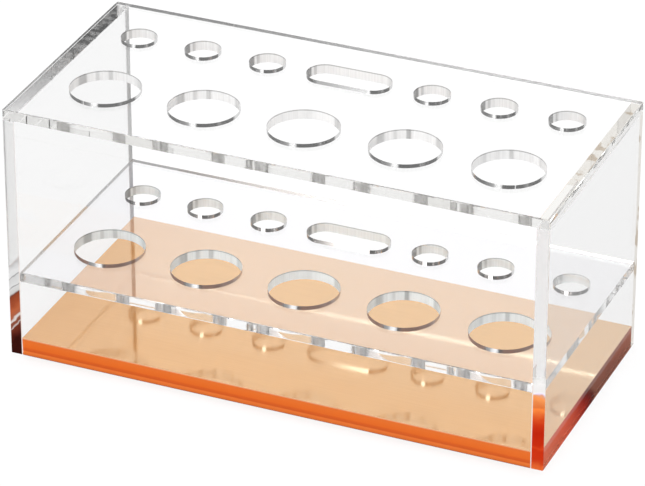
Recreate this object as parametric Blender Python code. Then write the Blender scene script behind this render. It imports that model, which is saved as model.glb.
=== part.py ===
"""Clear brush holder: two pierced sheets carried by two end sheets, on a tinted slab with a brushed metal face."""
import bmesh
import bpy
from math import pi, radians
from mathutils import Matrix, Vector

# Overall sizes in metres; the origin is on the floor, under the middle of the holder, and the front is at -Y
WIDTH = 0.220
DEPTH = 0.101
HEIGHT = 0.106

# Sheets
END_THICKNESS = 0.005
TOP_THICKNESS = 0.004
SHELF_THICKNESS = 0.004
SHELF_TOP = 0.0365          # floor to the shelf's upper face
SLAB_THICKNESS = 0.0068
FACE_THICKNESS = 0.0004     # brushed metal face laminated on the slab
BOND_GAP = 0.0003           # cement line between two bonded faces
ARRIS = 0.0004              # polished edge

# Front row of large holes
LARGE_COUNT = 5
LARGE_DIAMETER = 0.0278
LARGE_FROM_FRONT = 0.0320   # front edge to the row's centre line
LARGE_FROM_END = 0.0280     # outer face of an end sheet to the last hole's centre
LARGE_SIDES = 64

# Back row of small holes, on both sides of a slot of the same width
SMALL_PER_SIDE = 3
SMALL_DIAMETER = 0.0143
SMALL_FROM_BACK = 0.0251
SMALL_FROM_END = 0.0214
SMALL_SIDES = 40
SLOT_LENGTH = 0.0345
SLOT_WEB = 0.0097           # between the slot's round end and the nearest small hole

CUT_OVERRUN = 0.003
SMOOTH_ANGLE = radians(30)

INNER_HALF = WIDTH / 2 - END_THICKNESS - BOND_GAP
LARGE_Y = LARGE_FROM_FRONT - DEPTH / 2
SMALL_Y = DEPTH / 2 - SMALL_FROM_BACK


def fresh_collection(name):
    """A new collection in the scene."""
    collection = bpy.data.collections.new(name)
    bpy.context.scene.collection.children.link(collection)
    return collection


def finish(name, colour, roughness, metallic=0.0, transmission=0.0):
    """A Principled material with the part's colour, roughness and metallic value."""
    material = bpy.data.materials.new(name)
    material.use_nodes = True
    shader = material.node_tree.nodes["Principled BSDF"]
    shader.inputs["Base Color"].default_value = (*colour, 1.0)
    shader.inputs["Roughness"].default_value = roughness
    shader.inputs["Metallic"].default_value = metallic
    shader.inputs["Transmission Weight"].default_value = transmission
    material.diffuse_color = (*colour, 1.0 - 0.7 * transmission)
    return material


def hole_places():
    """Centre, diameter and side count of each round hole in the pattern."""
    large_pitch = (WIDTH - 2 * LARGE_FROM_END) / (LARGE_COUNT - 1)
    places = []
    for i in range(LARGE_COUNT):
        x = LARGE_FROM_END - WIDTH / 2 + i * large_pitch
        places.append((x, LARGE_Y, LARGE_DIAMETER, LARGE_SIDES))
    first = (SLOT_LENGTH + SMALL_DIAMETER) / 2 + SLOT_WEB
    last = WIDTH / 2 - SMALL_FROM_END
    for i in range(SMALL_PER_SIDE):
        x = first + i * (last - first) / (SMALL_PER_SIDE - 1)
        places.append((-x, SMALL_Y, SMALL_DIAMETER, SMALL_SIDES))
        places.append((x, SMALL_Y, SMALL_DIAMETER, SMALL_SIDES))
    return places


def shaded_mesh(name, mesh):
    """Turns a bmesh into mesh data that is smooth on its round walls and sharp at its corners."""
    data = bpy.data.meshes.new(name)
    mesh.to_mesh(data)
    mesh.free()
    data.shade_smooth()
    data.set_sharp_from_angle(angle=SMOOTH_ANGLE)
    return data


def add_plug(mesh, x, y, diameter, sides, height, stretch=0.0):
    """Adds a closed upright plug to the bmesh; a stretch pulls its two halves apart along X into a slot."""
    half_turn = Matrix.Rotation(pi / sides, 4, "Z")
    made = bmesh.ops.create_cone(
        mesh, cap_ends=True, segments=sides, radius1=diameter / 2, radius2=diameter / 2,
        depth=height, matrix=half_turn)
    for vert in made["verts"]:
        vert.co.x += x + (stretch / 2 if vert.co.x > 0 else -stretch / 2)
        vert.co.y += y


def make_hole_cutter(collection):
    """One cutter holds the whole pattern and passes through both sheets, so their holes line up."""
    low = SHELF_TOP - SHELF_THICKNESS - CUT_OVERRUN
    high = HEIGHT + CUT_OVERRUN
    mesh = bmesh.new()
    for x, y, diameter, sides in hole_places():
        add_plug(mesh, x, y, diameter, sides, high - low)
    add_plug(mesh, 0, SMALL_Y, SMALL_DIAMETER, SMALL_SIDES, high - low, SLOT_LENGTH - SMALL_DIAMETER)
    cutter = bpy.data.objects.new("hole_pattern", shaded_mesh("hole_pattern", mesh))
    cutter.location = (0, 0, (low + high) / 2)
    cutter.hide_render = True
    cutter.display_type = "WIRE"
    collection.objects.link(cutter)
    return cutter


def make_sheet(name, low, high, open_faces, material, collection, root):
    """A box between two corners; an edge is polished where both faces beside it are open, not bonded."""
    size = Vector(high) - Vector(low)
    mesh = bmesh.new()
    bmesh.ops.create_cube(mesh, size=1.0)
    bmesh.ops.scale(mesh, vec=size, verts=mesh.verts)
    faces = {}
    for face in mesh.faces:
        axis = max(range(3), key=lambda i: abs(face.normal[i]))
        faces[face] = ("-" if face.normal[axis] < 0 else "+") + "xyz"[axis]
    edges = [e for e in mesh.edges if all(faces[f] in open_faces for f in e.link_faces)]
    if edges:
        bmesh.ops.bevel(
            mesh, geom=edges, offset=ARRIS, segments=2, profile=0.5, affect="EDGES", material=-1)
    data = shaded_mesh(name, mesh)
    data.materials.append(material)
    sheet = bpy.data.objects.new(name, data)
    sheet.location = (Vector(low) + Vector(high)) / 2
    sheet.parent = root
    collection.objects.link(sheet)
    return sheet


def pierce(sheet, cutter):
    """Cuts the hole pattern through a sheet."""
    cut = sheet.modifiers.new("holes", "BOOLEAN")
    cut.operation = "DIFFERENCE"
    cut.solver = "EXACT"
    cut.object = cutter


def build():
    """Makes the six pieces and the cutter."""
    for old in list(bpy.data.objects):
        bpy.data.objects.remove(old, do_unlink=True)
    parts = fresh_collection("brush_holder")
    cutters = fresh_collection("cutters")
    root = bpy.data.objects.new("holder_root", None)
    parts.objects.link(root)

    clear = finish("clear_acrylic", (0.93, 0.95, 0.95), 0.03, transmission=1.0)
    tinted = finish("orange_acrylic", (0.90, 0.33, 0.08), 0.05, transmission=0.6)
    copper = finish("brushed_copper", (0.86, 0.58, 0.38), 0.28, metallic=1.0)

    front, back = -DEPTH / 2, DEPTH / 2
    outer = WIDTH / 2
    inner = outer - END_THICKNESS
    under_top = HEIGHT - TOP_THICKNESS
    face_low = SLAB_THICKNESS + BOND_GAP

    make_sheet(
        "left_end_panel", (-outer, front, 0), (-inner, back, under_top - BOND_GAP),
        ("-x", "-y", "+y", "-z"), clear, parts, root)
    make_sheet(
        "right_end_panel", (inner, front, 0), (outer, back, under_top - BOND_GAP),
        ("+x", "-y", "+y", "-z"), clear, parts, root)
    top = make_sheet(
        "top_panel", (-outer, front, under_top), (outer, back, HEIGHT),
        ("-x", "+x", "-y", "+y", "+z"), clear, parts, root)
    shelf = make_sheet(
        "middle_shelf", (-INNER_HALF, front, SHELF_TOP - SHELF_THICKNESS), (INNER_HALF, back, SHELF_TOP),
        ("-y", "+y", "-z", "+z"), clear, parts, root)
    make_sheet(
        "base_slab", (-INNER_HALF, front, 0), (INNER_HALF, back, SLAB_THICKNESS),
        ("-y", "+y", "-z"), tinted, parts, root)
    make_sheet(
        "copper_face", (-INNER_HALF, front, face_low), (INNER_HALF, back, face_low + FACE_THICKNESS),
        (), copper, parts, root)

    holes = make_hole_cutter(cutters)
    pierce(top, holes)
    pierce(shelf, holes)


build()
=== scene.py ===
import bmesh
import bpy
from math import cos, pi, radians, sin
from mathutils import Matrix, Vector


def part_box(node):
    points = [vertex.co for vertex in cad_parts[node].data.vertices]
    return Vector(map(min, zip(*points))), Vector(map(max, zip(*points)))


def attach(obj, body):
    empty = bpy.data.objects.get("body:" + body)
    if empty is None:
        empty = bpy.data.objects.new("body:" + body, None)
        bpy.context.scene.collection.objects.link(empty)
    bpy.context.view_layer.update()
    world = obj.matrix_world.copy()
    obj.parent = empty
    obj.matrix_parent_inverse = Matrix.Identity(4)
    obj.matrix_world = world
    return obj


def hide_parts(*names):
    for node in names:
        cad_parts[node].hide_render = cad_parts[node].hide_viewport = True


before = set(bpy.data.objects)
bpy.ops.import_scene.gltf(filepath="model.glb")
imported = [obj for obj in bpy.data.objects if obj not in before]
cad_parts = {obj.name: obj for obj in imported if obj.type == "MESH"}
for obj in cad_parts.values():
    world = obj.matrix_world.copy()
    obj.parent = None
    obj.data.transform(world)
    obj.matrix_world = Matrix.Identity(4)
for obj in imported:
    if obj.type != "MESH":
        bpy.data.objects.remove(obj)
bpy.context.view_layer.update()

# Makeup brush holder: clear pierced sheets bonded on two end sheets, over an orange slab with
# a brushed copper face. The front, with the large holes, is towards -Y.


def boxOf(node):
    low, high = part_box(node)
    return Vector(low), Vector(high)


topLow, topHigh = boxOf("top_panel")
shelfLow, shelfHigh = boxOf("middle_shelf")
leftLow, leftHigh = boxOf("left_end_panel")
rightLow, rightHigh = boxOf("right_end_panel")
slabLow, slabHigh = boxOf("base_slab")
faceLow, faceHigh = boxOf("copper_face")
innerX = rightLow.x          # inner face of the right end sheet
underTop = topLow.z          # underside of the top sheet
frontY, backY = topLow.y, topHigh.y


# Shader helpers

def newMaterial(name):
    material = bpy.data.materials.new(name)
    material.use_nodes = True
    nodes = material.node_tree.nodes
    nodes.clear()
    output = nodes.new("ShaderNodeOutputMaterial")
    return material, nodes, material.node_tree.links, output


def feed(links, sockets, values):
    # each value is a number, a colour or another node's output
    for socket, value in zip(sockets, values):
        if isinstance(value, tuple):
            socket.default_value = (*value, 1)
        elif isinstance(value, (int, float)):
            socket.default_value = value
        elif value is not None:
            links.new(value, socket)


def mathNode(nodes, links, operation, first, second=None, third=None, clamp=False):
    node = nodes.new("ShaderNodeMath")
    node.operation = operation
    node.use_clamp = clamp
    feed(links, node.inputs, (first, second, third))
    return node.outputs[0]


def product(nodes, links, first, *others):
    for other in others:
        first = mathNode(nodes, links, "MULTIPLY", first, other)
    return first


def smoothStep(nodes, links, value, low, high):
    node = nodes.new("ShaderNodeMapRange")
    node.interpolation_type = "SMOOTHSTEP"
    links.new(value, node.inputs["Value"])
    node.inputs["From Min"].default_value = low
    node.inputs["From Max"].default_value = high
    return node.outputs[0]


def blend(nodes, links, factor, first, second):
    node = nodes.new("ShaderNodeMix")
    feed(links, (node.inputs[0], node.inputs[2], node.inputs[3]), (factor, first, second))
    return node.outputs[0]


def colourMix(nodes, links, factor, first, second, kind="MIX"):
    node = nodes.new("ShaderNodeMix")
    node.data_type = "RGBA"
    node.blend_type = kind
    feed(links, (node.inputs[0], node.inputs[6], node.inputs[7]), (factor, first, second))
    return node.outputs[2]


def greys(stops):
    return [(stop, (level, level, level)) for stop, level in stops]


def addRamp(nodes, links, factor, stops):
    ramp = nodes.new("ShaderNodeValToRGB")
    links.new(factor, ramp.inputs[0])
    points = ramp.color_ramp.elements
    while len(points) < len(stops):
        points.new(0.5)
    for point, (place, colour) in zip(points, stops):
        point.position = place
        point.color = (*colour, 1)
    return ramp.outputs["Color"]


def objectPlace(nodes):
    return nodes.new("ShaderNodeTexCoord").outputs["Object"]


def placeOf(nodes, links):
    split = nodes.new("ShaderNodeSeparateXYZ")
    links.new(objectPlace(nodes), split.inputs[0])
    return split.outputs


def stretched(nodes, links, scale):
    node = nodes.new("ShaderNodeMapping")
    node.inputs["Scale"].default_value = scale
    links.new(objectPlace(nodes), node.inputs["Vector"])
    return node.outputs[0]


def addNoise(nodes, links, where, scale, detail, roughness=0.5):
    node = nodes.new("ShaderNodeTexNoise")
    node.inputs["Scale"].default_value = scale
    node.inputs["Detail"].default_value = detail
    node.inputs["Roughness"].default_value = roughness
    links.new(where, node.inputs["Vector"])
    return node.outputs["Fac"]


def matteShader(nodes, links, colour, kind="Diffuse"):
    shader = nodes.new("ShaderNodeBsdf" + kind)
    feed(links, [shader.inputs["Color"]], [colour])
    return shader


def mixShaders(nodes, links, factor, first, second):
    node = nodes.new("ShaderNodeMixShader")
    links.new(factor, node.inputs[0])
    links.new(first.outputs[0], node.inputs[1])
    links.new(second.outputs[0], node.inputs[2])
    return node


def isInside(nodes):
    # 1 for light that meets a face from inside its sheet
    return nodes.new("ShaderNodeNewGeometry").outputs["Backfacing"]


def turnCount(nodes):
    # how often light was mirrored on its way
    return nodes.new("ShaderNodeLightPath").outputs["Glossy Depth"]


# Clear acrylic

acrylicValues = {
    "colour": (0.985, 0.985, 0.985),
    "index": 1.49,
    "shadowColour": (0.96, 0.96, 0.96),
    "halfSeam": 0.00035,        # how far from a bond plane a face still counts as cemented
    "fullMirror": 0.97,         # mirrored share above which light is held inside a sheet
    "edgeRoughness": 0.03,      # edges of the top sheet and the shelf
    "edgeHaze": 0.05,
}


def plasticShader(nodes, colour, roughness, haze=0.0):
    shader = nodes.new("ShaderNodeBsdfPrincipled")
    shader.inputs["Base Color"].default_value = (*colour, 1)
    shader.inputs["Roughness"].default_value = roughness
    shader.inputs["IOR"].default_value = acrylicValues["index"]
    shader.inputs["Transmission Weight"].default_value = 1.0 - haze
    return shader


def mirrorTest(nodes, links, operation):
    mirror = nodes.new("ShaderNodeFresnel")
    mirror.inputs["IOR"].default_value = acrylicValues["index"]
    return mathNode(nodes, links, operation, mirror.outputs[0], acrylicValues["fullMirror"])


def isHeld(nodes, links):
    # 1 where light inside a sheet is mirrored in full
    return mirrorTest(nodes, links, "GREATER_THAN")


def canLeave(nodes, links):
    return mirrorTest(nodes, links, "LESS_THAN")


def bondMask(nodes, links):
    # 1 on the cemented faces between sheets, which show no surface of their own
    reach = acrylicValues["halfSeam"]
    place = placeOf(nodes, links)
    x = mathNode(nodes, links, "ABSOLUTE", place["X"])
    atEnd = mathNode(nodes, links, "COMPARE", x, innerX, reach)
    inBase = mathNode(nodes, links, "LESS_THAN", place["Z"], faceHigh.z)
    facing = nodes.new("ShaderNodeSeparateXYZ")
    links.new(nodes.new("ShaderNodeNewGeometry").outputs["True Normal"], facing.inputs[0])
    across = mathNode(nodes, links, "ABSOLUTE", facing.outputs["X"])
    ends = product(nodes, links, atEnd, inBase, mathNode(nodes, links, "GREATER_THAN", across, 0.5))
    atTop = mathNode(nodes, links, "COMPARE", place["Z"], underTop, reach)
    tops = product(nodes, links, atTop, mathNode(nodes, links, "GREATER_THAN", x, innerX))
    return mathNode(nodes, links, "MAXIMUM", ends, tops)


def connectSheet(nodes, links, shader, output):
    # lamp light passes straight through, and so does everything at a cemented face
    seam = matteShader(nodes, links, (1, 1, 1), "Transparent")
    clear = matteShader(nodes, links, acrylicValues["shadowColour"], "Transparent")
    joined = mixShaders(nodes, links, bondMask(nodes, links), shader, seam)
    isShadow = nodes.new("ShaderNodeLightPath").outputs["Is Shadow Ray"]
    links.new(mixShaders(nodes, links, isShadow, joined, clear).outputs[0], output.inputs["Surface"])


def makeClear():
    material, nodes, links, output = newMaterial("clearAcrylic")
    connectSheet(nodes, links, plasticShader(nodes, acrylicValues["colour"], 0.0), output)
    return material


# Top sheet

topValues = {
    "edgeColour": (0.80, 0.795, 0.775),
    "backMarksAndShade": (0.62, 0.28, (0.24, 0.24, 0.24)),      # painted shade over the saw marks: share at the left, share at the right, shade
    "fadeAlong": (-0.09, 0.03),
}


def makeTopEdge():
    # saw marks on the back edge show grey through the sheet, with painted shade that is strongest on the
    # left
    material, nodes, links, output = newMaterial("topEdge")
    v = topValues
    shader = plasticShader(nodes, v["edgeColour"], acrylicValues["edgeRoughness"], acrylicValues["edgeHaze"])
    place = placeOf(nodes, links)
    atLeft, atRight, shade = v["backMarksAndShade"]
    share = blend(nodes, links, smoothStep(nodes, links, place["X"], *v["fadeAlong"]), atLeft, atRight)
    unturned = mathNode(nodes, links, "LESS_THAN", turnCount(nodes), 0.5)
    behind = mathNode(nodes, links, "GREATER_THAN", place["Y"], 0.0)
    shown = product(nodes, links, unturned, behind, share, isInside(nodes))
    shader = mixShaders(nodes, links, shown, shader, matteShader(nodes, links, shade))
    connectSheet(nodes, links, shader, output)
    return material


# Shelf

shelfValues = {
    "paintedSheen": (0.11, (0.58, 0.57, 0.66)),      # painted sheen on the underside, seen from above: share, colour
    "leftJoint": (0.45, (0.45, 0.45, 0.45)),
}


def makeShelfFace():
    material, nodes, links, output = newMaterial("shelfAcrylic")
    shader = plasticShader(nodes, acrylicValues["colour"], 0.0)
    # painted sheen: a pale colour on the underside where light leaves it
    share, colour = shelfValues["paintedSheen"]
    under = mathNode(nodes, links, "LESS_THAN", placeOf(nodes, links)["Z"], shelfLow.z + 0.001)
    unturned = mathNode(nodes, links, "LESS_THAN", turnCount(nodes), 0.5)
    shown = product(nodes, links, under, unturned, canLeave(nodes, links), share)
    shader = mixShaders(nodes, links, shown, shader, matteShader(nodes, links, colour))
    connectSheet(nodes, links, shader, output)
    return material


def makeShelfEdge():
    # the joint with the left sheet shows as a grey line
    material, nodes, links, output = newMaterial("shelfEdge")
    shader = plasticShader(
        nodes, acrylicValues["colour"], acrylicValues["edgeRoughness"], acrylicValues["edgeHaze"])
    share, shade = shelfValues["leftJoint"]
    atEnd = mathNode(nodes, links, "LESS_THAN", placeOf(nodes, links)["X"], 0.0003 - innerX)
    shown = product(nodes, links, isInside(nodes), share, atEnd)
    shader = mixShaders(nodes, links, shown, shader, matteShader(nodes, links, shade))
    connectSheet(nodes, links, shader, output)
    return material


# End sheets

endValues = {
    "calmColour": (0.945, 0.945, 0.945),
    "calmLeft": 0.75,                # share of the mirror taken off the left sheet's faces
    "calmRight": (0.35, 0.9),        # the same on the right, above and beside the slab
    "undersideShadowLeft": ((0.018, (0.74, 0.74, 0.74)), (0.042, (0.46, 0.46, 0.46))),      # painted shadow of the floor, darker further back, by depth
    "undersideRight": (0.97, 0.96, 0.93),
    "edgeRoughness": 0.05,
    "edgeHaze": (0.08, 0.42),        # front and back edges
}
# saw marks on the back edges of the end sheets, in painted shade on the left and painted light on the right
sawMarksAndShading = {
    "left": {
        "perMetre": 260.0,
        "shades": ((0.42, (0.02, 0.02, 0.02)), (0.60, (0.36, 0.36, 0.36))),
        "heights": (-0.02, 0.06),      # where they start to show and where they show in full
        "turns": 0.5,                  # only light mirrored more often than this shows them
        "shader": "Diffuse",
    },
    "right": {
        "perMetre": 170.0,
        "shades": ((0.38, (0.54, 0.46, 0.37)), (0.47, (0.79, 0.765, 0.72))),
        "heights": (-0.02, -0.01),
        "turns": -0.5,
        "shader": "Translucent",
    },
}
# painted light on the front edges of the end sheets, standing in for the slab's colour that light mirrored
# inside a sheet brings to them
footValues = {
    "height": 0.0402,
    "wave": (260.0, 0.0035),                    # per metre, height
    "slope": {"left": 1.1, "right": 0.0},
    "above": {"left": 0.35, "right": 0.0},      # share of the paint above the foot
    "paleHighlight": (0.0004, (0.80, 0.72, 0.68)),     # painted highlight line beside the slab: width, colour
    "roughness": 0.15,
    "gloss": 0.04,
    "right": (                                  # height as a share of the foot, colour
        (0.00, (0.86, 0.21, 0.050)),
        (0.04, (0.76, 0.125, 0.026)),
        (0.075, (0.62, 0.060, 0.012)),
        (0.12, (0.59, 0.034, 0.005)),
        (0.20, (0.58, 0.030, 0.004)),
        (0.23, (0.66, 0.052, 0.008)),
        (0.27, (0.55, 0.024, 0.003)),
        (0.39, (0.51, 0.017, 0.002)),
        (0.48, (0.59, 0.036, 0.005)),
        (0.545, (0.68, 0.070, 0.012)),
        (0.60, (0.80, 0.150, 0.030)),
        (0.65, (0.93, 0.25, 0.050)),
        (0.67, (0.77, 0.18, 0.044)),
        (0.72, (0.82, 0.24, 0.065)),
        (0.77, (0.95, 0.34, 0.10)),
        (0.79, (0.78, 0.38, 0.25)),
        (0.80, (0.80, 0.70, 0.86)),
        (0.815, (0.92, 0.90, 0.92)),
        (0.84, (0.86, 0.84, 0.83)),
        (1.00, (0.90, 0.89, 0.88)),
    ),
    "left": (
        (0.00, (0.038, 0.005, 0.003)),
        (0.17, (0.038, 0.005, 0.003)),
        (0.21, (0.080, 0.011, 0.007)),
        (0.29, (0.155, 0.028, 0.014)),
        (0.31, (0.150, 0.028, 0.014)),
        (0.325, (0.62, 0.54, 0.52)),
        (0.34, (0.24, 0.070, 0.040)),
        (0.37, (0.26, 0.080, 0.046)),
        (0.385, (0.72, 0.66, 0.64)),
        (0.41, (0.60, 0.50, 0.46)),
        (0.425, (0.40, 0.120, 0.062)),
        (0.50, (0.47, 0.116, 0.044)),
        (0.56, (0.36, 0.074, 0.028)),
        (0.63, (0.29, 0.058, 0.022)),
        (0.655, (0.18, 0.050, 0.030)),
        (0.675, (0.60, 0.59, 0.58)),
        (0.74, (0.66, 0.66, 0.66)),
        (0.75, (0.24, 0.24, 0.24)),
        (0.76, (0.70, 0.70, 0.70)),
        (0.85, (0.62, 0.62, 0.62)),
        (0.86, (0.26, 0.26, 0.26)),
        (0.87, (0.72, 0.72, 0.72)),
        (1.00, (0.74, 0.74, 0.74)),
    ),
}


def calmed(nodes, links, shader, share):
    # takes a share of the mirror off a sheet's faces, but not off rays held inside it
    plain = matteShader(nodes, links, endValues["calmColour"], "Refraction")
    plain.inputs["Roughness"].default_value = 0.0
    plain.inputs["IOR"].default_value = acrylicValues["index"]
    return mixShaders(nodes, links, product(nodes, links, canLeave(nodes, links), share), shader, plain)


def standing(nodes, links, shader, side):
    # the underside stands on the floor; on the left it carries painted shadow, seen from inside the sheet,
    # and on the right it lets light through
    place = placeOf(nodes, links)
    low = mathNode(nodes, links, "LESS_THAN", place["Z"], 0.00002)
    if side == "left":
        dim = matteShader(nodes, links, addRamp(nodes, links, place["Y"], endValues["undersideShadowLeft"]))
    else:
        dim = matteShader(nodes, links, endValues["undersideRight"], "Transparent")
    shown = product(nodes, links, low, isInside(nodes), canLeave(nodes, links))
    return mixShaders(nodes, links, shown, shader, dim)


def makePanelFace(side):
    material, nodes, links, output = newMaterial(side + "PanelAcrylic")
    shader = plasticShader(nodes, acrylicValues["colour"], 0.0)
    share = endValues["calmLeft"]
    if side == "right":
        above, beside = endValues["calmRight"]
        low = mathNode(nodes, links, "LESS_THAN", placeOf(nodes, links)["Z"], faceHigh.z)
        share = mathNode(nodes, links, "MULTIPLY_ADD", low, beside - above, above)
    shader = calmed(nodes, links, shader, share)
    shader = standing(nodes, links, shader, side)
    connectSheet(nodes, links, shader, output)
    return material


def sawnAndShaded(nodes, links, shader, side):
    # saw marks on the back edge show from inside, in painted shade on the left and painted pale light on the
    # right, standing in for what light held in the sheet sees
    v = sawMarksAndShading[side]
    place = placeOf(nodes, links)
    marks = addNoise(nodes, links, objectPlace(nodes), v["perMetre"], 1.0)
    body = matteShader(nodes, links, addRamp(nodes, links, marks, v["shades"]), v["shader"])
    high = smoothStep(nodes, links, place["Z"], *v["heights"])
    turned = mathNode(nodes, links, "GREATER_THAN", turnCount(nodes), v["turns"])
    behind = mathNode(nodes, links, "GREATER_THAN", place["Y"], 0.0)
    shown = product(nodes, links, high, isHeld(nodes, links), turned, behind)
    return mixShaders(nodes, links, shown, shader, body)


def paintedFootGlow(nodes, links, shader, side):
    # painted light: the front edge carries the colour of the slab that is cemented to the sheet, as light
    # mirrored inside the sheet brings it, with painted pale reflections among its bands
    v = footValues
    place = placeOf(nodes, links)
    perMetre, depth = v["wave"]
    slope = v["slope"][side]
    wave = addNoise(nodes, links, objectPlace(nodes), perMetre, 1.0)
    lift = mathNode(nodes, links, "MULTIPLY_ADD", wave, depth, -depth / 2)
    middle = (topHigh.x + innerX) / 2 * (-1 if side == "left" else 1)
    across = mathNode(nodes, links, "MULTIPLY_ADD", place["X"], -slope, middle * slope)
    height = mathNode(nodes, links, "ADD", mathNode(nodes, links, "ADD", place["Z"], lift), across)
    height = mathNode(nodes, links, "DIVIDE", height, v["height"])
    width, pale = v["paleHighlight"]
    fromMiddle = mathNode(nodes, links, "ABSOLUTE", place["X"])
    besideSlab = mathNode(nodes, links, "LESS_THAN", fromMiddle, innerX + width)
    body = nodes.new("ShaderNodeBsdfPrincipled")
    body.inputs["Roughness"].default_value = v["roughness"]
    body.inputs["Specular IOR Level"].default_value = v["gloss"]
    colour = colourMix(nodes, links, besideSlab, addRamp(nodes, links, height, v[side]), pale)
    links.new(colour, body.inputs["Base Color"])
    share = addRamp(nodes, links, height, greys(((0.92, 1.0), (1.0, v["above"][side]))))
    inFront = mathNode(nodes, links, "LESS_THAN", place["Y"], 0.0)
    return mixShaders(nodes, links, product(nodes, links, share, inFront), shader, body)


def makePanelEdge(side):
    material, nodes, links, output = newMaterial(side + "PanelEdge")
    shader = plasticShader(nodes, acrylicValues["colour"], endValues["edgeRoughness"])
    front, back = endValues["edgeHaze"]
    behind = mathNode(nodes, links, "GREATER_THAN", placeOf(nodes, links)["Y"], 0.0)
    clearness = mathNode(nodes, links, "MULTIPLY_ADD", behind, front - back, 1.0 - front)
    links.new(clearness, shader.inputs["Transmission Weight"])
    shader = sawnAndShaded(nodes, links, shader, side)
    shader = paintedFootGlow(nodes, links, shader, side)
    connectSheet(nodes, links, shader, output)
    return material


# Cut walls of the holes

wallValues = {
    "frost": 0.9,                   # share of a cut wall that is frosted, seen from the hole
    "mirrored": 0.35,               # how much less of the frost the copper mirrors
    "frostRoughness": 0.5,
    "frostGloss": 0.2,
    "rim": (0.0005, 0.55),          # height and shade of the painted dark line under the rim
    "large": (                      # painted shade and light, grey from left to right across a hole
        (0.00, 0.74), (0.10, 0.80), (0.135, 0.48), (0.21, 0.46), (0.24, 0.92), (0.33, 0.94), (0.35, 0.68),
        (0.385, 0.70), (0.40, 0.94), (0.51, 0.94), (0.53, 0.40), (0.57, 0.42), (0.595, 1.0), (0.90, 1.0),
        (0.93, 0.66), (1.00, 0.70),
    ),
    "largePlain": 0.92,             # the grey where a large hole has few bands
    "bandedPerMetre": 34.0,         # how fast that changes along the row
    # painted shade and light across a small hole
    "small": (
        (0.00, 0.45), (0.03, 0.30), (0.13, 0.34), (0.155, 0.92), (0.20, 0.92), (0.22, 0.66), (0.27, 0.72),
        (0.30, 0.95), (0.60, 1.0), (0.85, 1.0), (0.93, 0.80), (1.00, 0.70),
    ),
    "smallFrom": 0.008,             # holes further back than this are small
    "shelfTint": (0.90, 0.97, 1.0),
    "shelfClear": 0.12,             # how much less frost on the small holes of the shelf
    "streak": 0.16,                 # how much fine upright streaks change the grey
    "streaksPerMetre": 1500.0,
    # painted shade and light to light held in a sheet
    "heldShading": ((0.44, (0.26, 0.25, 0.24)), (0.56, (0.95, 0.94, 0.93))),
    "heldShadingShare": 0.72,
    "greyEnds": (                   # share of painted shade from right to left across a hole's near wall
        (0.07, 0.0), (0.10, 1.0), (0.24, 1.0), (0.28, 0.0),
        (0.80, 0.0), (0.84, 1.0), (0.95, 1.0), (0.98, 0.0),
    ),
    "greyShade": (0.20, 0.20, 0.20),
    "brownEnds": (                  # the same over the copper, where the painted shade is brown for the copper it mirrors
        (0.00, 0.6), (0.52, 0.8), (0.60, 0.0), (0.76, 0.0), (0.82, 0.8), (1.00, 0.8),
    ),
    "brownShade": (0.34, 0.14, 0.07),
}


def wallGrey(nodes, links, place, across, streak, isSmall):
    # painted shade and light in bands across the hole, some holes banded more than others, with fine streaks
    # and a painted dark line at the rim
    v = wallValues
    banded = nodes.new("ShaderNodeTexNoise")
    banded.noise_dimensions = "1D"
    banded.inputs["Scale"].default_value = 1.0
    links.new(mathNode(nodes, links, "MULTIPLY", place["X"], v["bandedPerMetre"]), banded.inputs["W"])
    plainness = smoothStep(nodes, links, banded.outputs["Fac"], 0.35, 0.6)
    large = addRamp(nodes, links, across, greys(v["large"]))
    small = addRamp(nodes, links, across, greys(v["small"]))
    large = blend(nodes, links, plainness, v["largePlain"], large)
    level = blend(nodes, links, isSmall, large, small)
    spread = mathNode(nodes, links, "MULTIPLY_ADD", streak, 2 * v["streak"], 1.0 - v["streak"])
    height, shade = v["rim"]
    nearRim = mathNode(
        nodes, links, "MAXIMUM", mathNode(nodes, links, "COMPARE", place["Z"], topHigh.z, height),
        mathNode(nodes, links, "COMPARE", place["Z"], shelfHigh.z, height))
    dimmed = mathNode(nodes, links, "MULTIPLY_ADD", nearRim, shade - 1.0, 1.0)
    return product(nodes, links, level, spread, dimmed)


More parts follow.
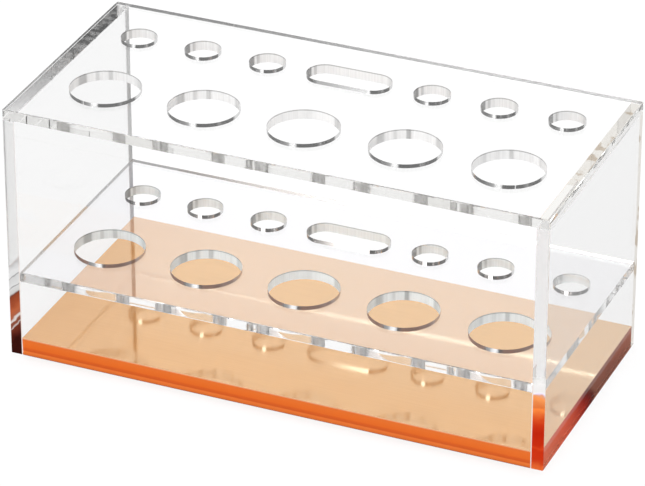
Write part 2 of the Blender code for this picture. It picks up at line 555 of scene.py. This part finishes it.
def makeCutWall():
    # frosted towards the open hole, with painted shade and light in bands, and clear from inside the sheet
    material, nodes, links, output = newMaterial("cutWall")
    v = wallValues
    place = placeOf(nodes, links)
    geometry = nodes.new("ShaderNodeNewGeometry").outputs
    facing = nodes.new("ShaderNodeSeparateXYZ")
    links.new(geometry["Normal"], facing.inputs[0])
    path = nodes.new("ShaderNodeLightPath").outputs
    alongWall = (v["streaksPerMetre"], v["streaksPerMetre"], 0)
    streak = addNoise(nodes, links, stretched(nodes, links, alongWall), 1.0, 2.0)
    # the same painted bands stand across every hole of a row, by the way each part of the wall faces
    across = mathNode(nodes, links, "MULTIPLY_ADD", facing.outputs["X"], -0.46, 0.5)
    across = mathNode(nodes, links, "MULTIPLY_ADD", facing.outputs["Y"], -0.1955, across)
    isSmall = mathNode(nodes, links, "GREATER_THAN", place["Y"], v["smallFrom"])
    onShelf = mathNode(nodes, links, "LESS_THAN", place["Z"], underTop - 0.01)

    frost = nodes.new("ShaderNodeBsdfPrincipled")
    frost.inputs["Roughness"].default_value = v["frostRoughness"]
    frost.inputs["Specular IOR Level"].default_value = v["frostGloss"]
    level = wallGrey(nodes, links, place, across, streak, isSmall)
    tinted = colourMix(nodes, links, onShelf, level, v["shelfTint"], "MULTIPLY")
    links.new(tinted, frost.inputs["Base Color"])
    outside = mathNode(nodes, links, "SUBTRACT", 1.0, geometry["Backfacing"])
    shown = mathNode(nodes, links, "MULTIPLY_ADD", path["Is Glossy Ray"], -v["mirrored"], v["frost"])
    smallOnShelf = product(nodes, links, isSmall, onShelf)
    shown = mathNode(nodes, links, "MULTIPLY_ADD", smallOnShelf, -v["shelfClear"], shown)
    glass = plasticShader(nodes, acrylicValues["colour"], endValues["edgeRoughness"])
    shader = mixShaders(nodes, links, product(nodes, links, outside, shown), glass, frost)

    # light held in a sheet and mirrored last meets the wall at a slant and shows painted dark and pale marks
    # along its streaks, standing in for what that light sees
    held = isHeld(nodes, links)
    turned = mathNode(nodes, links, "GREATER_THAN", path["Is Glossy Ray"], path["Is Transmission Ray"])
    heldShading = matteShader(nodes, links, addRamp(nodes, links, streak, v["heldShading"]))
    slanted = product(nodes, links, held, turned, geometry["Backfacing"], v["heldShadingShare"])
    shader = mixShaders(nodes, links, slanted, shader, heldShading)

    # painted shade: seen from inside, the ends of a hole's near wall are painted grey, and brown over the
    # copper for the copper they mirror
    overCopper = product(nodes, links, onShelf, mathNode(nodes, links, "SUBTRACT", 1.0, isSmall))
    lined = matteShader(
        nodes, links, colourMix(nodes, links, overCopper, v["greyShade"], v["brownShade"]))
    grey = addRamp(nodes, links, across, greys(v["greyEnds"]))
    brown = addRamp(nodes, links, across, greys(v["brownEnds"]))
    ends = blend(nodes, links, overCopper, grey, brown)
    unturned = mathNode(nodes, links, "SUBTRACT", 1.0, turned)
    ends = product(nodes, links, ends, held, geometry["Backfacing"], unturned)
    shader = mixShaders(nodes, links, ends, shader, lined)
    connectSheet(nodes, links, shader, output)
    return material


# Orange slab

slabValues = {
    "edgeBands": (                  # orange with painted shade and light bands, standing in for light mirrored inside the slab: height as a share of the slab, colour
        (0.00, (0.25, 0.035, 0.006)),
        (0.05, (0.74, 0.170, 0.026)),
        (0.24, (0.84, 0.205, 0.036)),
        (0.31, (0.65, 0.098, 0.012)),
        (0.44, (0.70, 0.115, 0.013)),
        (0.52, (0.775, 0.148, 0.014)),
        (0.80, (0.785, 0.158, 0.018)),
        (0.96, (0.77, 0.165, 0.028)),
        (1.00, (0.80, 0.27, 0.11)),
    ),
    "endBands": (                   # painted shade bands standing in for light mirrored inside the slab: distance from the front as a share of the depth, colour
        (0.00, (0.90, 0.24, 0.135)),
        (0.08, (0.88, 0.21, 0.115)),
        (0.15, (0.82, 0.167, 0.087)),
        (0.26, (0.85, 0.130, 0.064)),
        (0.35, (0.70, 0.090, 0.040)),
        (0.44, (0.48, 0.026, 0.010)),
        (0.50, (0.22, 0.008, 0.003)),
        (0.54, (0.14, 0.022, 0.012)),
        (0.57, (0.30, 0.108, 0.070)),
        (0.75, (0.33, 0.115, 0.078)),
        (0.90, (0.38, 0.135, 0.090)),
        (1.00, (0.46, 0.180, 0.130)),
    ),
    "endSlant": 0.08,
    "endTurned": ((0.36, 0.36, 0.36), (0.86, 0.85, 0.83)),      # left and right, to mirrored light: painted shade on the left, painted pale light on the right
    "roughness": 0.12,
    "gloss": 0.2,
}


def makeSlab():
    material, nodes, links, output = newMaterial("orangeAcrylic")
    shader = nodes.new("ShaderNodeBsdfPrincipled")
    shader.inputs["Roughness"].default_value = slabValues["roughness"]
    shader.inputs["Specular IOR Level"].default_value = slabValues["gloss"]
    shader.inputs["IOR"].default_value = acrylicValues["index"]
    height = mathNode(nodes, links, "DIVIDE", placeOf(nodes, links)["Z"], faceLow.z)
    links.new(addRamp(nodes, links, height, slabValues["edgeBands"]), shader.inputs["Base Color"])
    links.new(shader.outputs[0], output.inputs["Surface"])
    return material


def endColour(nodes, links):
    # the painted shade bands across the slab's end, from the front to the back
    slant = slabValues["endSlant"]
    place = placeOf(nodes, links)
    depth = mathNode(nodes, links, "MULTIPLY_ADD", place["Y"], 1 / (backY - frontY), 0.5)
    depth = mathNode(nodes, links, "MULTIPLY_ADD", place["Z"], slant / faceLow.z, depth)
    depth = mathNode(nodes, links, "SUBTRACT", depth, slant / 2)
    return addRamp(nodes, links, depth, slabValues["endBands"])


def makeSlabEnd():
    # cemented, so it has no gloss of its own; to light that was mirrored inside an end sheet it shows
    # painted grey shade on the left and painted pale light on the right
    material, nodes, links, output = newMaterial("orangeAcrylicEnd")
    onRight = mathNode(nodes, links, "GREATER_THAN", placeOf(nodes, links)["X"], 0.0)
    turnedColour = colourMix(nodes, links, onRight, *slabValues["endTurned"])
    # on the right the underside of the sheet mirrors the bands once
    turns = mathNode(nodes, links, "SUBTRACT", turnCount(nodes), onRight)
    turned = mathNode(nodes, links, "GREATER_THAN", turns, 0.5)
    shader = nodes.new("ShaderNodeBsdfPrincipled")
    shader.inputs["Roughness"].default_value = 1.0
    shader.inputs["Specular IOR Level"].default_value = 0.0
    colour = colourMix(nodes, links, turned, endColour(nodes, links), turnedColour)
    links.new(colour, shader.inputs["Base Color"])
    links.new(shader.outputs[0], output.inputs["Surface"])
    return material


# Copper face

copperValues = {
    "frontColours": ((0.36, (0.628, 0.573, 0.418)), (0.60, (0.682, 0.623, 0.454))),      # by the grain
    "backColours": ((0.36, (0.655, 0.652, 0.505)), (0.60, (0.710, 0.706, 0.547))),
    "backFrom": (-0.02, 0.02),               # where the front's colours give way to the back's, which are paler as painted light for what the copper mirrors under the shelf
    "turnedColour": (0.84, 0.78, 0.74),      # painted pale reflection, to light mirrored inside a sheet first, up to a depth
    "turnedTo": 0.011,
    "glowColours": ((0.36, (0.84, 0.361, 0.107)), (0.60, (0.88, 0.379, 0.113))),
    "glowShare": 0.42,                       # the part that mirrors nothing
    "leftShade": ((0.03, (0.90, 0.87, 0.87)), (0.20, (1.0, 1.0, 1.0))),      # painted shade, darker towards the left end: by place from the left end
    "roughness": 0.068,
    "anisotropy": 0.6,
    "grain": (30.0, 1600.0, 1.0),            # noise per metre along and across the brushing
    "grainDepth": 0.002,
    "edgeColour": (0.78, 0.42, 0.22),
    "edgeRoughness": 0.4,
}


def makeCopper():
    material, nodes, links, output = newMaterial("brushedCopper")
    v = copperValues
    place = placeOf(nodes, links)
    grain = addNoise(nodes, links, stretched(nodes, links, v["grain"]), 1.0, 4.0, 0.6)
    front = addRamp(nodes, links, grain, v["frontColours"])
    back = addRamp(nodes, links, grain, v["backColours"])
    # painted light: paler colours at the back, for what the copper mirrors under the shelf
    colour = colourMix(nodes, links, smoothStep(nodes, links, place["Y"], *v["backFrom"]), front, back)
    # painted shade towards the left end
    fromLeft = mathNode(nodes, links, "MULTIPLY_ADD", place["X"], 0.5 / topHigh.x, 0.5)
    colour = colourMix(nodes, links, 1.0, colour, addRamp(nodes, links, fromLeft, v["leftShade"]), "MULTIPLY")
    # painted pale reflection in place of the copper's colour, to light mirrored inside a sheet first
    turned = product(
        nodes, links, mathNode(nodes, links, "GREATER_THAN", turnCount(nodes), 0.5),
        mathNode(nodes, links, "LESS_THAN", place["Y"], v["turnedTo"]))
    colour = colourMix(nodes, links, turned, colour, v["turnedColour"])

    metal = nodes.new("ShaderNodeBsdfPrincipled")
    metal.inputs["Metallic"].default_value = 1.0
    metal.inputs["Roughness"].default_value = v["roughness"]
    metal.inputs["Anisotropic"].default_value = v["anisotropy"]
    links.new(colour, metal.inputs["Base Color"])
    tangent = nodes.new("ShaderNodeTangent")
    tangent.direction_type = "UV_MAP"
    tangent.uv_map = "brushing"
    links.new(tangent.outputs[0], metal.inputs["Tangent"])
    bump = nodes.new("ShaderNodeBump")
    bump.inputs["Strength"].default_value = v["grainDepth"]
    bump.inputs["Distance"].default_value = 0.0002
    links.new(grain, bump.inputs["Height"])
    links.new(bump.outputs[0], metal.inputs["Normal"])
    glow = matteShader(nodes, links, addRamp(nodes, links, grain, v["glowColours"]))
    share = blend(nodes, links, turned, v["glowShare"], 0.0)
    links.new(mixShaders(nodes, links, share, metal, glow).outputs[0], output.inputs["Surface"])
    return material


def makeFilmEdge():
    # copper along the front and back, the slab's painted shade bands at the ends
    material, nodes, links, output = newMaterial("copperEdge")
    fromMiddle = mathNode(nodes, links, "ABSOLUTE", placeOf(nodes, links)["X"])
    atEnd = mathNode(nodes, links, "GREATER_THAN", fromMiddle, innerX - 0.0001)
    shader = nodes.new("ShaderNodeBsdfPrincipled")
    shader.inputs["Roughness"].default_value = copperValues["edgeRoughness"]
    colour = colourMix(nodes, links, atEnd, copperValues["edgeColour"], endColour(nodes, links))
    links.new(colour, shader.inputs["Base Color"])
    links.new(shader.outputs[0], output.inputs["Surface"])
    return material


# Sheets

holeValues = {
    "largeCount": 5,
    "largeRadius": 0.0139,
    "largeFromFront": 0.0320,
    "largeFromEnd": 0.0280,
    "smallPerSide": 3,
    "smallRadius": 0.00715,
    "smallFromBack": 0.0251,
    "smallFromEnd": 0.0214,
    "slotLength": 0.0345,
    "slotWeb": 0.0097,
    "sides": 160,
}
sheetValues = {
    "arris": 0.0004,         # broken edges
    "bondGap": 0.00002,
    "endReach": 0.0055,      # a face this near the holder's end belongs to the sheet's end
    "longReach": 0.0005,     # and this near the front or back, to its long edge
}


def holePlaces():
    # x, y, radius and half the run of a slot
    v = holeValues
    halfLength = topHigh.x
    pitch = 2 * (halfLength - v["largeFromEnd"]) / (v["largeCount"] - 1)
    rowFront = frontY + v["largeFromFront"]
    rowBack = backY - v["smallFromBack"]
    places = []
    for i in range(v["largeCount"]):
        places.append((v["largeFromEnd"] - halfLength + i * pitch, rowFront, v["largeRadius"], 0.0))
    first = v["slotLength"] / 2 + v["slotWeb"] + v["smallRadius"]
    step = (halfLength - v["smallFromEnd"] - first) / (v["smallPerSide"] - 1)
    for side in (-1, 1):
        for i in range(v["smallPerSide"]):
            places.append((side * (first + i * step), rowBack, v["smallRadius"], 0.0))
    places.append((0.0, rowBack, v["smallRadius"], v["slotLength"] / 2 - v["smallRadius"]))
    return places


def addHoleOutline(mesh, x, y, radius, halfRun, z):
    # a circle, pulled apart along X where the hole is a slot
    sides = holeValues["sides"]
    made = bmesh.ops.create_circle(
        mesh, cap_ends=False, segments=sides, radius=radius, matrix=Matrix.Rotation(pi / sides, 4, "Z"))
    for vert in made["verts"]:
        vert.co.x += x + (halfRun if vert.co.x > 0 else -halfRun)
        vert.co.y += y
        vert.co.z = z


def sideOf(face, low, high):
    # the side of the sheet that a face lies on, such as "-x"
    axis = max(range(3), key=lambda i: abs(face.normal[i]))
    middle = face.calc_center_median()
    return ("-" if middle[axis] < (low[axis] + high[axis]) / 2 else "+") + "xyz"[axis]


def breakEdges(mesh, edges):
    if edges:
        bmesh.ops.bevel(
            mesh, geom=edges, offset=sheetValues["arris"], segments=2, profile=0.5, affect="EDGES",
            material=-1, clamp_overlap=True)


def slotOf(face, rule):
    # 0 for the plain faces; what else a face can be depends on the sheet
    middle = face.calc_center_median()
    nearLong = backY - abs(middle.y) < sheetValues["longReach"]
    if rule == "longEdges":
        return 1 if nearLong else 0
    if rule == "ends":
        return 1 if abs(face.normal.x) > 0.9 else 0
    if rule == "belowTop":
        return 1 if face.normal.z < 0.5 else 0
    if abs(face.normal.z) > 0.5:
        return 0
    nearEnd = topHigh.x - abs(middle.x) < sheetValues["endReach"]
    return 1 if nearEnd or nearLong else 2


def finishSheet(name, mesh, materials, node, rule):
    bmesh.ops.recalc_face_normals(mesh, faces=mesh.faces)
    for face in mesh.faces:
        face.material_index = slotOf(face, rule)
    data = bpy.data.meshes.new(name)
    mesh.to_mesh(data)
    mesh.free()
    data.shade_smooth()
    data.set_sharp_from_angle(angle=radians(20))
    for material in materials:
        data.materials.append(material)
    piece = bpy.data.objects.new(name, data)
    bpy.context.scene.collection.objects.link(piece)
    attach(piece, "root")
    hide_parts(node)
    return piece


def plainSheet(name, low, high, openSides, materials, node, rule):
    # an edge is broken where both faces beside it are open
    mesh = bmesh.new()
    bmesh.ops.create_cube(mesh, size=1.0)
    bmesh.ops.scale(mesh, vec=high - low, verts=mesh.verts)
    bmesh.ops.translate(mesh, vec=(low + high) / 2, verts=mesh.verts)
    breakEdges(mesh, [edge for edge in mesh.edges
                      if all(sideOf(face, low, high) in openSides for face in edge.link_faces)])
    return finishSheet(name, mesh, materials, node, rule)


def onOutline(edge, low, high):
    middle = (edge.verts[0].co + edge.verts[1].co) / 2
    return min(abs(middle.x - low.x), abs(middle.x - high.x),
               abs(middle.y - low.y), abs(middle.y - high.y)) < 1e-5


def piercedSheet(name, low, high, openSides, materials, node):
    mesh = bmesh.new()
    made = bmesh.ops.create_grid(mesh, x_segments=1, y_segments=1, size=0.5)
    for vert in made["verts"]:
        vert.co.x = low.x if vert.co.x < 0 else high.x
        vert.co.y = low.y if vert.co.y < 0 else high.y
        vert.co.z = low.z
    bmesh.ops.delete(mesh, geom=mesh.faces[:], context="FACES_ONLY")
    for x, y, radius, halfRun in holePlaces():
        addHoleOutline(mesh, x, y, radius, halfRun, low.z)
    bmesh.ops.triangle_fill(
        mesh, use_beauty=True, use_dissolve=False, edges=mesh.edges[:], normal=(0, 0, -1))
    raised = bmesh.ops.extrude_face_region(mesh, geom=mesh.faces[:])
    bmesh.ops.translate(
        mesh, vec=(0, 0, high.z - low.z),
        verts=[item for item in raised["geom"] if isinstance(item, bmesh.types.BMVert)])
    arrises = []
    for edge in mesh.edges:
        isCorner = len(edge.link_faces) == 2 and edge.calc_face_angle(0) >= radians(40)
        if isCorner and onOutline(edge, low, high):
            if all(sideOf(face, low, high) in openSides for face in edge.link_faces):
                arrises.append(edge)
    breakEdges(mesh, arrises)
    return finishSheet(name, mesh, materials, node, "pierced")


clear = makeClear()
shelfFace = makeShelfFace()
topEdge = makeTopEdge()
shelfEdge = makeShelfEdge()
wall = makeCutWall()
leftFace, rightFace = makePanelFace("left"), makePanelFace("right")
leftEdge, rightEdge = makePanelEdge("left"), makePanelEdge("right")
gap = sheetValues["bondGap"]
plainSheet(
    "leftEndSheet", leftLow, Vector((leftHigh.x, leftHigh.y, underTop - gap)),
    ("-x", "-y", "+y"), [leftFace, leftEdge], "left_end_panel", "longEdges")
plainSheet(
    "rightEndSheet", rightLow, Vector((rightHigh.x, rightHigh.y, underTop - gap)),
    ("+x", "-y", "+y"), [rightFace, rightEdge], "right_end_panel", "longEdges")
piercedSheet(
    "topSheet", topLow, topHigh, ("-x", "+x", "-y", "+y", "+z"), [clear, topEdge, wall], "top_panel")
piercedSheet(
    "shelfSheet", Vector((gap - innerX, shelfLow.y, shelfLow.z)),
    Vector((innerX - gap, shelfHigh.y, shelfHigh.z)),
    ("-y", "+y", "-z", "+z"), [shelfFace, shelfEdge, wall], "middle_shelf")
plainSheet(
    "orangeSlab", Vector((gap - innerX, slabLow.y, slabLow.z)),
    Vector((innerX - gap, slabHigh.y, faceLow.z - gap)),
    (), [makeSlab(), makeSlabEnd()], "base_slab", "ends")
copperFace = plainSheet(
    "copperFace", Vector((gap - innerX, faceLow.y, faceLow.z)),
    Vector((innerX - gap, faceHigh.y, faceHigh.z)),
    (), [makeCopper(), makeFilmEdge()], "copper_face", "belowTop")
brushing = copperFace.data.uv_layers.new(name="brushing")
for loop in copperFace.data.loops:
    point = copperFace.data.vertices[loop.vertex_index].co
    brushing.data[loop.index].uv = (point.y / (2 * topHigh.x) + 0.5, point.x / (2 * topHigh.x) + 0.5)
print("sheets made")


# Stage

stageValues = {
    "floorSize": 4.0,
    "floorDrop": 0.0003,
    "floorColour": (0.92, 0.92, 0.92),
    "whiteShare": 0.8,       # how much of the floor's white is plain to the camera
    "above": 1.0,            # studio as seen by rays turned on the way
    "below": 0.65,
    "belowInside": 1.0,      # the same, turned more than once
    "under": 0.88,
    "soft": 0.92,
    "horizon": (-0.15, 0.1),
    "behindFrom": (0.2, 0.75),
    "lostAfter": (2.5, 3.5),      # turns after which a ray sees only the soft studio
    "bandHeights": (0.37, 0.42, 0.56, 0.62),
    "ring": (                     # the dark studio round the front and sides, from -X to +X
        (0.00, 0.20),
        (0.20, 0.20),
        (0.30, 0.34),
        (0.34, 0.34),
        (0.40, 0.06),
        (0.90, 0.07),
        (0.94, 0.30),
        (1.00, 0.30),
    ),
    "cardLow": (-0.46, -0.14, -0.14, 0.08),      # a white card in front: where it starts and ends along X
    "cardHigh": (-0.38, -0.29, -0.04, 0.05),
    "cardLight": (0.78, 4.0),                    # to rays that go down and up to it
    "keyPlace": (-0.5, 0.3, 0.9),
    "keySize": (0.5, 0.5),
    "keyPower": 4.0,
}


def makeWorld():
    # white as seen plainly; for rays turned by a surface, a studio that is dimmer below and
    # darkest in front below
    v = stageValues
    world = bpy.data.worlds.new("paleStudio")
    bpy.context.scene.world = world
    world.use_nodes = True
    nodes, links = world.node_tree.nodes, world.node_tree.links
    nodes.clear()
    output = nodes.new("ShaderNodeOutputWorld")
    shade = nodes.new("ShaderNodeBackground")
    shade.inputs["Color"].default_value = (1, 1, 1, 1)
    direction = nodes.new("ShaderNodeSeparateXYZ")
    links.new(nodes.new("ShaderNodeTexCoord").outputs["Generated"], direction.inputs[0])
    x, y, z = direction.outputs
    above = smoothStep(nodes, links, z, *v["horizon"])
    behind = smoothStep(nodes, links, y, *v["behindFrom"])
    turns = turnCount(nodes)
    inside = mathNode(nodes, links, "GREATER_THAN", turns, 1.5)
    below = blend(nodes, links, inside, v["below"], v["belowInside"])
    # in front and at the sides the studio is dark
    halfway = mathNode(nodes, links, "MULTIPLY_ADD", x, 0.5, 0.5)
    ring = addRamp(nodes, links, halfway, greys(v["ring"]))
    cards = []
    for start, full, spent, end in (v["cardLow"], v["cardHigh"]):
        fromLeft = smoothStep(nodes, links, x, start, full)
        pastRight = smoothStep(nodes, links, x, spent, end)
        cards.append(mathNode(nodes, links, "SUBTRACT", fromLeft, pastRight, clamp=True))
    onCard = blend(nodes, links, above, *cards)
    front = blend(nodes, links, onCard, ring, blend(nodes, links, above, *v["cardLight"]))
    # the ring and the cards stand in one band above and one below the horizon, and the rest is
    # soft and pale
    steepness = mathNode(nodes, links, "ABSOLUTE", z)
    start, full, spent, end = v["bandHeights"]
    inBand = mathNode(
        nodes, links, "SUBTRACT", smoothStep(nodes, links, steepness, start, full),
        smoothStep(nodes, links, steepness, spent, end), clamp=True)
    front = blend(nodes, links, inBand, blend(nodes, links, above, v["under"], v["soft"]), front)
    lost = smoothStep(nodes, links, turns, *v["lostAfter"])
    front = blend(nodes, links, lost, front, v["soft"])
    turned = blend(nodes, links, behind, front, blend(nodes, links, above, below, v["above"]))
    unturned = mathNode(nodes, links, "LESS_THAN", turns, 0.5)
    links.new(blend(nodes, links, unturned, turned, 1.0), shade.inputs["Strength"])
    links.new(shade.outputs[0], output.inputs["Surface"])


def makeFloor():
    # plain white as seen directly or straight through the sheets, apart from the shadow
    v = stageValues
    material, nodes, links, output = newMaterial("paleFloor")
    body = matteShader(nodes, links, v["floorColour"])
    white = nodes.new("ShaderNodeEmission")
    white.inputs["Color"].default_value = (1, 1, 1, 1)
    path = nodes.new("ShaderNodeLightPath").outputs
    direct = mathNode(nodes, links, "MAXIMUM", path["Is Camera Ray"], path["Is Transmission Ray"])
    unturned = mathNode(nodes, links, "LESS_THAN", path["Glossy Depth"], 0.5)
    shader = mixShaders(nodes, links, product(nodes, links, direct, unturned, v["whiteShare"]), body, white)
    # rays turned inside the sheets pass on to the world
    gone = matteShader(nodes, links, (1, 1, 1), "Transparent")
    turned = mathNode(nodes, links, "GREATER_THAN", path["Glossy Depth"], 0.5)
    links.new(mixShaders(nodes, links, turned, shader, gone).outputs[0], output.inputs["Surface"])
    mesh = bmesh.new()
    bmesh.ops.create_grid(mesh, x_segments=1, y_segments=1, size=v["floorSize"] / 2)
    bmesh.ops.translate(mesh, vec=(0, 0, -v["floorDrop"]), verts=mesh.verts)
    data = bpy.data.meshes.new("floor")
    mesh.to_mesh(data)
    mesh.free()
    data.materials.append(material)
    floor = bpy.data.objects.new("floor", data)
    bpy.context.scene.collection.objects.link(floor)


def addKeyLamp():
    v = stageValues
    light = bpy.data.lights.new("keyLamp", "AREA")
    light.shape = "RECTANGLE"
    light.size, light.size_y = v["keySize"]
    light.energy = v["keyPower"]
    lamp = bpy.data.objects.new("keyLamp", light)
    lamp.location = v["keyPlace"]
    towards = Vector((0, 0, 0.05)) - Vector(v["keyPlace"])
    lamp.rotation_euler = towards.to_track_quat("-Z", "Y").to_euler()
    bpy.context.scene.collection.objects.link(lamp)


makeWorld()
makeFloor()
addKeyLamp()
print("stage made")


# Camera

cameraValues = {
    "yaw": 0.40338,          # turned to the right of the front
    "pitch": 0.51031,
    "distance": 6.5,         # in holder lengths
    "height": 3.85052,
    "side": -0.00117,
    "focal": 4273.15 / 645,      # in picture widths
}


def makeCamera():
    v = cameraValues
    length = topHigh.x * 2
    yaw, pitch = v["yaw"], v["pitch"]
    ahead = Vector((-sin(yaw), cos(yaw), 0))
    right = Vector((cos(yaw), sin(yaw), 0))
    look = ahead * cos(pitch) - Vector((0, 0, sin(pitch)))
    data = bpy.data.cameras.new("camera")
    data.sensor_width = 36.0
    data.lens = v["focal"] * data.sensor_width
    data.clip_start, data.clip_end = 0.05, 20
    camera = bpy.data.objects.new("camera", data)
    camera.location = (Vector((0, 0, v["height"])) - ahead * v["distance"] + right * v["side"]) * length
    camera.rotation_mode = "QUATERNION"
    camera.rotation_quaternion = look.to_track_quat("-Z", "Y")
    bpy.context.scene.collection.objects.link(camera)
    bpy.context.scene.camera = camera


makeCamera()
scene = bpy.context.scene
scene.view_settings.view_transform = "Standard"
scene.cycles.max_bounces = 40      # light is led a long way inside the sheets
scene.cycles.glossy_bounces = 32
scene.cycles.transmission_bounces = 32
scene.cycles.transparent_max_bounces = 64
print("camera made")
